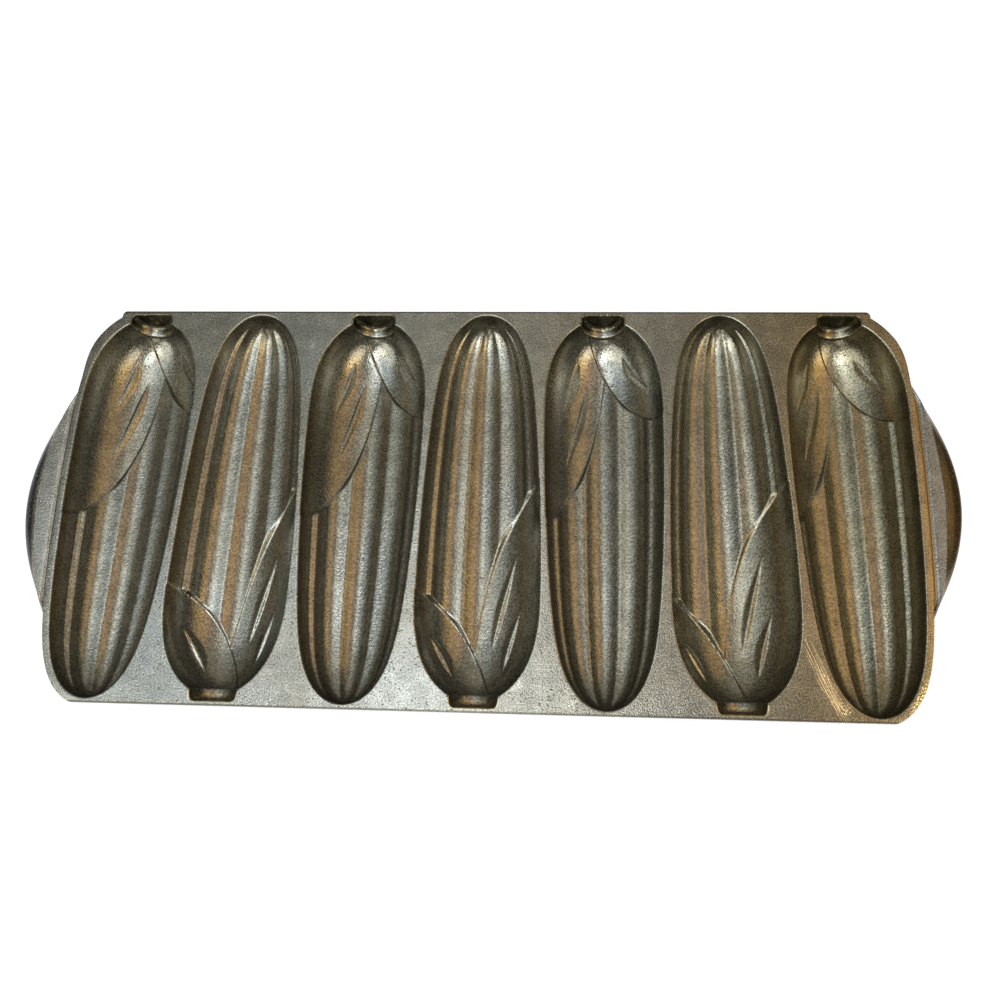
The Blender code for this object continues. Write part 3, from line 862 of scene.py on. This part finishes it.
def iron_material(name, grey, brown, roughness, grain_scale, grain_height, mottle, pits, scratches):
    """Cast iron: clean and seasoned colour, mean roughness, grains per metre and their height,
    how far the colour varies, how common pits are and how bright scratches are."""
    material = bpy.data.materials.new(name)
    material.use_nodes = True
    tree = material.node_tree
    shader = tree.nodes["Principled BSDF"]
    shader.inputs["Metallic"].default_value = 1.0
    place = add_node(tree, "TexCoord").outputs["Object"]

    grain = noise(tree, place, grain_scale, 1.0, 0.5)
    lumps = noise(tree, place, LUMPS_PER_METRE, 2.0, 0.5)
    patches = noise(tree, place, PATCHES_PER_METRE, 4.0, 0.55, 0.4)
    cells = add_node(tree, "TexVoronoi", Vector=place, Scale=PITS_PER_METRE)
    pit = ramp(tree, cells.outputs["Distance"], 0.12, 0.30, 1.0, 0.0)
    pit_fields = noise(tree, place, PIT_FIELDS_PER_METRE)
    pit = times(tree, pit, ramp(tree, pit_fields, 0.68 - pits, 0.76 - pits))

    colour = blend_colour(tree, ramp(tree, patches, 0.38, 0.64), grey, brown)
    speck = spread(tree, grain, 0.30, 0.70, mottle)
    speck = times(tree, speck, ramp(tree, pit, 0.0, 1.0, 1.0, PIT_SHADE))
    speck = times(tree, speck, spread(tree, lumps, 0.30, 0.70, LUMP_SHARE_OF_MOTTLE * mottle))
    if scratches:
        line = hairlines(tree, place, SCRATCHES_PER_METRE, SCRATCH_FINENESS)
        speck = times(tree, speck, ramp(tree, line, 0.0, 1.0, 1.0, 1.0 + scratches))
    tint = add_node(tree, "CombineColor", Red=speck, Green=speck, Blue=speck).outputs["Color"]
    feed(tree, shader.inputs["Base Color"], blend_colour(tree, 1.0, colour, tint, "MULTIPLY"))

    dull = calculate(tree, "ADD", ramp(tree, patches, 0.35, 0.65, roughness - 0.04, roughness + 0.05),
                     ramp(tree, grain, 0.35, 0.65, -0.04, 0.04))
    feed(tree, shader.inputs["Roughness"], dull)

    broad = add_node(tree, "Bump", Height=lumps, Strength=1.0, Distance=LUMP_HEIGHT)
    grain_and_pits = calculate(tree, "SUBTRACT", grain, times(tree, pit, PIT_DEPTH_IN_GRAINS))
    fine = add_node(tree, "Bump", Height=grain_and_pits, Strength=1.0, Distance=grain_height,
                    Normal=broad.outputs["Normal"])
    feed(tree, shader.inputs["Normal"], fine.outputs["Normal"])
    return material


mould_iron = iron_material("mould_iron", grey=(0.286, 0.279, 0.247), brown=(0.267, 0.251, 0.206),
                           roughness=0.235, grain_scale=1300.0, grain_height=0.074 * MM,
                           mottle=0.26, pits=0.13, scratches=0.0)
deck_iron = iron_material("deck_iron", grey=(0.294, 0.287, 0.258), brown=(0.271, 0.255, 0.219),
                          roughness=0.26, grain_scale=1800.0, grain_height=0.070 * MM,
                          mottle=0.32, pits=0.24, scratches=0.40)
grip_iron = iron_material("grip_iron", grey=(0.336, 0.318, 0.280), brown=(0.312, 0.290, 0.250),
                          roughness=0.28, grain_scale=1600.0, grain_height=0.066 * MM,
                          mottle=0.26, pits=0.22, scratches=0.30)
print("irons:", [k.name for k in (mould_iron, deck_iron, grip_iron)])

# %% [markdown]
# Some colours are laid on by place. Towards the right end the base colour is tinted bronze, and
# the deck's near right corner is darker and cooler. The deck's long edges and the outer bands of
# the grips are darkened as painted shade. On the right grip the sloping band is amber as painted
# warm light, the rounding is dark brown as painted shade, and the whole grip is tinted cool blue
# as a painted reflection. The near stems are brightened as painted light, and the far ones are
# painted black as shade and hold burnt-on crumbs. Each mark is one more Mix node in front of the
# base colour, steered by where a point lies.

# %% Lay a second colour over a finished recipe


def lay_over(material, share, colour, mode="MIX"):
    """Blend a colour into the material's base colour by a share that a function works out."""
    tree = material.node_tree
    base = tree.nodes["Principled BSDF"].inputs["Base Color"]
    place = tree.nodes["Texture Coordinate"].outputs["Object"]
    below = base.links[0].from_socket
    feed(tree, base, blend_colour(tree, share(tree, place), below, colour, mode))


def coordinate(tree, place, axis):
    """One coordinate of a place or a direction."""
    return add_node(tree, "SeparateXYZ", Vector=place).outputs[axis]


def zone(tree, place, axis, none_at, full_at):
    """0 where an Object coordinate is none_at mm and 1 where it is full_at mm, in either order."""
    ends = (0.0, 1.0) if none_at < full_at else (1.0, 0.0)
    low, high = sorted((none_at, full_at))
    return ramp(tree, coordinate(tree, place, axis), low * MM, high * MM, *ends)


# %% Where the painted light, painted shade and tints lie


def right_end(tree, place):
    return zone(tree, place, "X", none_at=68.0, full_at=125.0)


def near_right_corner(tree, place):
    return times(tree, zone(tree, place, "Y", none_at=-30.0, full_at=-66.0),
                 zone(tree, place, "X", none_at=75.0, full_at=105.0))


# Painted shade: the share that darkens the deck's long edges.
def shaded_long_edges(tree, place):
    reach = calculate(tree, "ABSOLUTE", coordinate(tree, place, "Y"))
    return ramp(tree, reach, DECK_HALF_DEPTH - 0.8 * MM, DECK_HALF_DEPTH - 0.3 * MM)


def right_side(tree, place):
    return zone(tree, place, "X", none_at=0.0, full_at=1.0)


def below_face(tree, place, none_at, full_at):
    """1 where a grip has fallen away from its flat face, by two drops in mm."""
    face = (DECK_TOP + GRIP_TOP) / MM
    return zone(tree, place, "Z", face - none_at, face - full_at)


# Painted shade: the share that darkens the outer bands of both grips.
def grip_shade_band(tree, place):
    return below_face(tree, place, none_at=0.45, full_at=0.60)


# Painted warm light: the share of the right grip's amber sloping band.
def right_warm_light_band(tree, place):
    return times(tree, below_face(tree, place, none_at=0.15, full_at=0.35), right_side(tree, place))


# Painted shade: the share of the right grip's dark brown rounding, warmed by the light from the right.
def right_warm_shade_rounding(tree, place):
    return times(tree, below_face(tree, place, none_at=0.8, full_at=1.2), right_side(tree, place))


def stem_room(tree, place, shift):
    """1 inside the stems' troughs of every second ear, counted from the shift along X."""
    shifted = calculate(tree, "ADD", coordinate(tree, place, "X"), shift)
    sideways = calculate(tree, "PINGPONG", shifted, EAR_PITCH)
    down = calculate(tree, "SUBTRACT", DECK_TOP, coordinate(tree, place, "Z"))
    square = calculate(tree, "ADD", times(tree, sideways, sideways), times(tree, down, down))
    radius = calculate(tree, "SQRT", square)
    inside = ramp(tree, radius, STEM_LIP_RADIUS + 0.4 * MM, STEM_LIP_RADIUS + 0.9 * MM, 1.0, 0.0)
    reach = calculate(tree, "ABSOLUTE", coordinate(tree, place, "Y"))
    return times(tree, inside, ramp(tree, reach, TIP_Y + 0.5 * MM, TIP_Y + 0.8 * MM, 1.0, 0.0))


# Painted light: the share that brightens and warms the near stems' troughs.
def lit_near_stems(tree, place):
    past_lip = zone(tree, place, "Y", none_at=-70.0, full_at=-70.6)
    return times(tree, past_lip, stem_room(tree, place, 0.0))


# Painted shade: the share that darkens the far stems' troughs, where the crumbs lie too.
def shaded_far_stems(tree, place):
    past_lip = zone(tree, place, "Y", none_at=70.0, full_at=70.5)
    return times(tree, past_lip, stem_room(tree, place, EAR_PITCH))


def far_crumbs(tree, place):
    crumbs = ramp(tree, noise(tree, place, 800.0, 1.0), 0.60, 0.66)
    return times(tree, crumbs, shaded_far_stems(tree, place))


# %% Lay the marks on
# Each mark: its material, its share, its colour and how it blends. The last one lies on top.
MARKS = (
    (mould_iron, right_end, (0.98, 0.92, 0.78), "MULTIPLY"),
    # Painted light: the near stems' troughs are brightened and warmed.
    (mould_iron, lit_near_stems, (1.45, 1.32, 1.12), "MULTIPLY"),
    # Painted shade: the far stems' troughs are darkened almost to black.
    (mould_iron, shaded_far_stems, (0.13, 0.12, 0.09), "MIX"),
    (mould_iron, far_crumbs, (0.36, 0.31, 0.20), "MIX"),
    (deck_iron, right_end, (1.04, 0.90, 0.69), "MULTIPLY"),
    (deck_iron, near_right_corner, (0.74, 0.80, 0.86), "MULTIPLY"),
    # Painted shade: the deck's long edges are darkened.
    (deck_iron, shaded_long_edges, (0.10, 0.09, 0.075), "MIX"),
    # Painted reflection: the whole right grip is tinted cool blue.
    (grip_iron, right_side, (0.70, 0.84, 1.04), "MULTIPLY"),
    # Painted shade: the outer bands of both grips are darkened.
    (grip_iron, grip_shade_band, (0.10, 0.10, 0.105), "MIX"),
    # Painted warm light: the right grip's sloping band is amber.
    (grip_iron, right_warm_light_band, (0.24, 0.165, 0.085), "MIX"),
    # Painted shade, warmed: the right grip's rounding is dark brown.
    (grip_iron, right_warm_shade_rounding, (0.13, 0.085, 0.040), "MIX"),
)
for mark in MARKS:
    lay_over(*mark)
print("marks:", len(MARKS))

# %% [markdown]
# The deck has been scraped beside the last mould, where somebody's knife or turner went under
# the bread. The scrapes are parallel hairlines of cleaner, brighter metal, and a little of the
# rim at that corner is worn to crumbs of the same colour. A Mapping node of the Texture kind
# turns Object coordinates into a spot's own: a stretched noise makes scratches, an even one
# makes crumbs, and an oval keeps them where they belong.

# %% Scraped places on the deck
BARE_IRON = (0.92, 0.78, 0.50)
SPOT_FADE_FROM = 0.6
# Each spot: middle in mm, turn in degrees, half-length and half-width in mm, and the length and
# width of its marks in mm.
SCRAPED_SPOTS = (
    ((113.8, -58.5), -68.6, (15.0, 2.4), (24.0, 0.34)),
    ((116.6, -65.5), -65.0, (12.0, 2.6), (20.0, 0.36)),
    ((120.2, -70.6), -20.0, (3.2, 2.2), (0.8, 0.6)),
    ((146.5, -65.5), 50.0, (9.0, 2.6), (0.9, 0.6)),
    ((153.4, -44.0), 80.0, (11.0, 1.6), (0.9, 0.6)),
)


def scraped_share(tree, place):
    """1 on the bare marks of every scraped spot, 0 elsewhere."""
    total = 0.0
    for (x, y), turn, (half_length, half_width), (long_side, short_side) in SCRAPED_SPOTS:
        local = add_node(tree, "Mapping", Vector=place, Location=(x * MM, y * MM, DECK_TOP),
                         Rotation=(0.0, 0.0, math.radians(turn)),
                         Scale=(long_side * MM, short_side * MM, MM))
        local.vector_type = "TEXTURE"
        marks = ramp(tree, noise(tree, local.outputs["Vector"], 1.0, 1.0), 0.51, 0.59)
        oval = add_node(tree, "VectorMath")
        oval.operation = "MULTIPLY"
        feed(tree, oval.inputs[0], local.outputs["Vector"])
        feed(tree, oval.inputs[1], (long_side / half_length, short_side / half_width, 0.0))
        away = add_node(tree, "VectorMath")
        away.operation = "LENGTH"
        feed(tree, away.inputs[0], oval.outputs["Vector"])
        marks = times(tree, marks, ramp(tree, away.outputs["Value"], SPOT_FADE_FROM, 1.0, 1.0, 0.0))
        total = calculate(tree, "MAXIMUM", total, marks)
    return total


lay_over(deck_iron, scraped_share, BARE_IRON)
print("scraped spots:", len(SCRAPED_SPOTS))

# %% Give every piece its iron
for piece in ears:
    piece.data.materials.append(mould_iron)
deck_piece.data.materials.append(deck_iron)
for piece in grips:
    piece.data.materials.append(grip_iron)
print("dressed:", len(ears) + len(grips) + 1, "pieces")

# %% [markdown]
# ## Floor, light and camera
# The pan lies on a white sheet. For the camera and for reflections the sheet is plain white,
# and for everything else it is ordinary white paper, so it still takes a soft shadow.
# The iron is a dark mirror, so what stands round it decides how it looks: a kitchen in the
# evening, with cool white lamps overhead, a window's worth of light low on the near side, a warm
# lamp to the right, and a room that is dark at the horizon. That leaves the walls of the moulds
# dark and gives each crest a silvery and an amber line.

# %% Floor
SHEET_HALF_SIDE = 3.0
sheet = bmesh.new()
bmesh.ops.create_grid(sheet, x_segments=1, y_segments=1, size=SHEET_HALF_SIDE)
sheet_mesh = bpy.data.meshes.new("floor")
sheet.to_mesh(sheet_mesh)
sheet.free()
floor = bpy.data.objects.new("floor", sheet_mesh)
bpy.context.scene.collection.objects.link(floor)
print("floor:", 2.0 * SHEET_HALF_SIDE, "m wide")

# %% The floor's paper
SHEET_GLOW = 0.72
SHEET_SEEN = (0.42, 0.43, 0.50)
SHEET_BOUNCE = (0.78, 0.78, 0.78)


def sheet_material():
    """White to the camera and in reflections, plain paper to other light, nothing from below."""
    paper = bpy.data.materials.new("white_paper")
    paper.use_nodes = True
    tree = paper.node_tree
    tree.nodes.remove(tree.nodes["Principled BSDF"])

    def join(kind, first, second):
        """An Add Shader or Mix Shader node with both its shaders in place."""
        node = add_node(tree, kind)
        slots = [k for k in node.inputs if k.type == "SHADER"]
        for socket, source in zip(slots, (first, second)):
            feed(tree, socket, source.outputs[0])
        return node

    path = add_node(tree, "LightPath")
    seen = calculate(tree, "MAXIMUM", path.outputs["Is Camera Ray"], path.outputs["Is Glossy Ray"])
    seen = calculate(tree, "MAXIMUM", seen, path.outputs["Is Transmission Ray"])
    lit = add_node(tree, "BsdfDiffuse", Color=SHEET_SEEN)
    glow = add_node(tree, "Emission", Color=(1.0, 1.0, 1.0), Strength=SHEET_GLOW)
    plain = add_node(tree, "BsdfDiffuse", Color=SHEET_BOUNCE)
    front = join("MixShader", plain, join("AddShader", lit, glow))
    feed(tree, front.inputs[0], seen)
    whole = join("MixShader", front, add_node(tree, "BsdfTransparent"))
    feed(tree, whole.inputs[0], add_node(tree, "NewGeometry").outputs["Backfacing"])
    feed(tree, tree.nodes["Material Output"].inputs["Surface"], whole.outputs[0])
    return paper


sheet_mesh.materials.append(sheet_material())
print("paper glows at", SHEET_GLOW)

# %% Room light, dark at the horizon and brighter overhead
ROOM_LOW = 0.04
ROOM_HIGH = 0.40
ROOM_COLOUR = (1.0, 0.97, 0.80)
room = bpy.data.worlds.new("room")
bpy.context.scene.world = room
room.use_nodes = True
sky = room.node_tree
direction = add_node(sky, "TexCoord").outputs["Generated"]
overhead_share = calculate(sky, "MAXIMUM", coordinate(sky, direction, "Z"))
strength = calculate(sky, "ADD", times(sky, overhead_share, ROOM_HIGH), ROOM_LOW)
feed(sky, sky.nodes["Background"].inputs["Color"], ROOM_COLOUR)
feed(sky, sky.nodes["Background"].inputs["Strength"], strength)
print("room light:", ROOM_LOW, "to", ROOM_LOW + ROOM_HIGH)

# %% Lamps
LAMP_DISTANCE = 1.2
# Each lamp: elevation, azimuth from +X towards +Y and width in degrees, power in watts, colour.
LAMPS = {
    "overhead": (80.0, 270.0, 16.0, 1.9, (0.87, 0.96, 1.0)),
    "overhead_left": (78.0, 150.0, 16.0, 1.0, (0.82, 0.91, 1.0)),
    "overhead_far": (74.0, 90.0, 16.0, 0.32, (1.0, 0.95, 0.84)),
    "overhead_near": (66.0, 235.0, 24.0, 2.0, (1.0, 1.0, 0.94)),
    "left_high": (60.0, 170.0, 24.0, 0.7, (0.66, 0.83, 1.0)),
    "far_left": (60.0, 120.0, 24.0, 0.18, (0.6, 0.84, 1.0)),
    "far_right": (60.0, 20.0, 24.0, 0.36, (1.0, 0.5, 0.3)),
    "far_low": (45.0, 90.0, 40.0, 0.32, (1.0, 0.84, 0.66)),
    "near_left": (45.0, 210.0, 40.0, 3.1, (0.98, 1.0, 0.93)),
    "near_right": (45.0, 335.0, 30.0, 2.15, (1.0, 0.90, 0.70)),
    "warm_right": (45.0, 355.0, 24.0, 0.95, (1.0, 0.60, 0.10)),
    "warm_far": (43.0, 26.0, 28.0, 0.43, (1.0, 0.57, 0.13)),
    "near_low": (27.0, 262.0, 26.0, 0.8, (1.0, 0.95, 0.82)),
}


def add_lamp(name, elevation, azimuth, width, power, colour):
    """A soft round lamp that looks at the pan."""
    up, round_about = math.radians(elevation), math.radians(azimuth)
    towards = Vector((math.cos(up) * math.cos(round_about), math.cos(up) * math.sin(round_about),
                      math.sin(up)))
    data = bpy.data.lights.new(name, "AREA")
    data.shape = "DISK"
    data.size = 2.0 * LAMP_DISTANCE * math.tan(math.radians(0.5 * width))
    data.energy = power
    data.color = colour
    lamp = bpy.data.objects.new(name, data)
    lamp.location = towards * LAMP_DISTANCE + Vector((0.0, 0.0, DECK_TOP))
    lamp.rotation_euler = (-towards).to_track_quat("-Z", "Y").to_euler()
    bpy.context.scene.collection.objects.link(lamp)


for name, settings in LAMPS.items():
    add_lamp(name, *settings)
print("lamps:", len(LAMPS))

# %% Camera
CAMERA_ELEVATION = math.radians(71.43)
CAMERA_YAW = math.radians(9.83)
CAMERA_ROLL = math.radians(-8.56)
CAMERA_DISTANCE = 302.6 * MM
CAMERA_TARGET = Vector((6.91 * MM, -1.17 * MM, DECK_TOP))
CAMERA_LENS = 30.6
CAMERA_FILM = 36.0
back = Vector((math.sin(CAMERA_YAW) * math.cos(CAMERA_ELEVATION),
               -math.cos(CAMERA_YAW) * math.cos(CAMERA_ELEVATION), math.sin(CAMERA_ELEVATION)))
level_right = (-back).cross(Vector((0.0, 0.0, 1.0))).normalized()
level_up = level_right.cross(-back)
right = level_right * math.cos(CAMERA_ROLL) + level_up * math.sin(CAMERA_ROLL)
up = level_up * math.cos(CAMERA_ROLL) - level_right * math.sin(CAMERA_ROLL)
camera_data = bpy.data.cameras.new("camera")
camera_data.sensor_width = CAMERA_FILM
camera_data.lens = CAMERA_LENS
camera_data.clip_start = 10.0 * MM
camera = bpy.data.objects.new("camera", camera_data)
turned = Matrix((right, up, back)).transposed().to_4x4()
camera.matrix_world = Matrix.Translation(CAMERA_TARGET + back * CAMERA_DISTANCE) @ turned
bpy.context.scene.collection.objects.link(camera)
bpy.context.scene.camera = camera
bpy.context.scene.view_settings.view_transform = "Standard"
print("camera at", [round(v / MM, 1) for v in camera.matrix_world.translation])
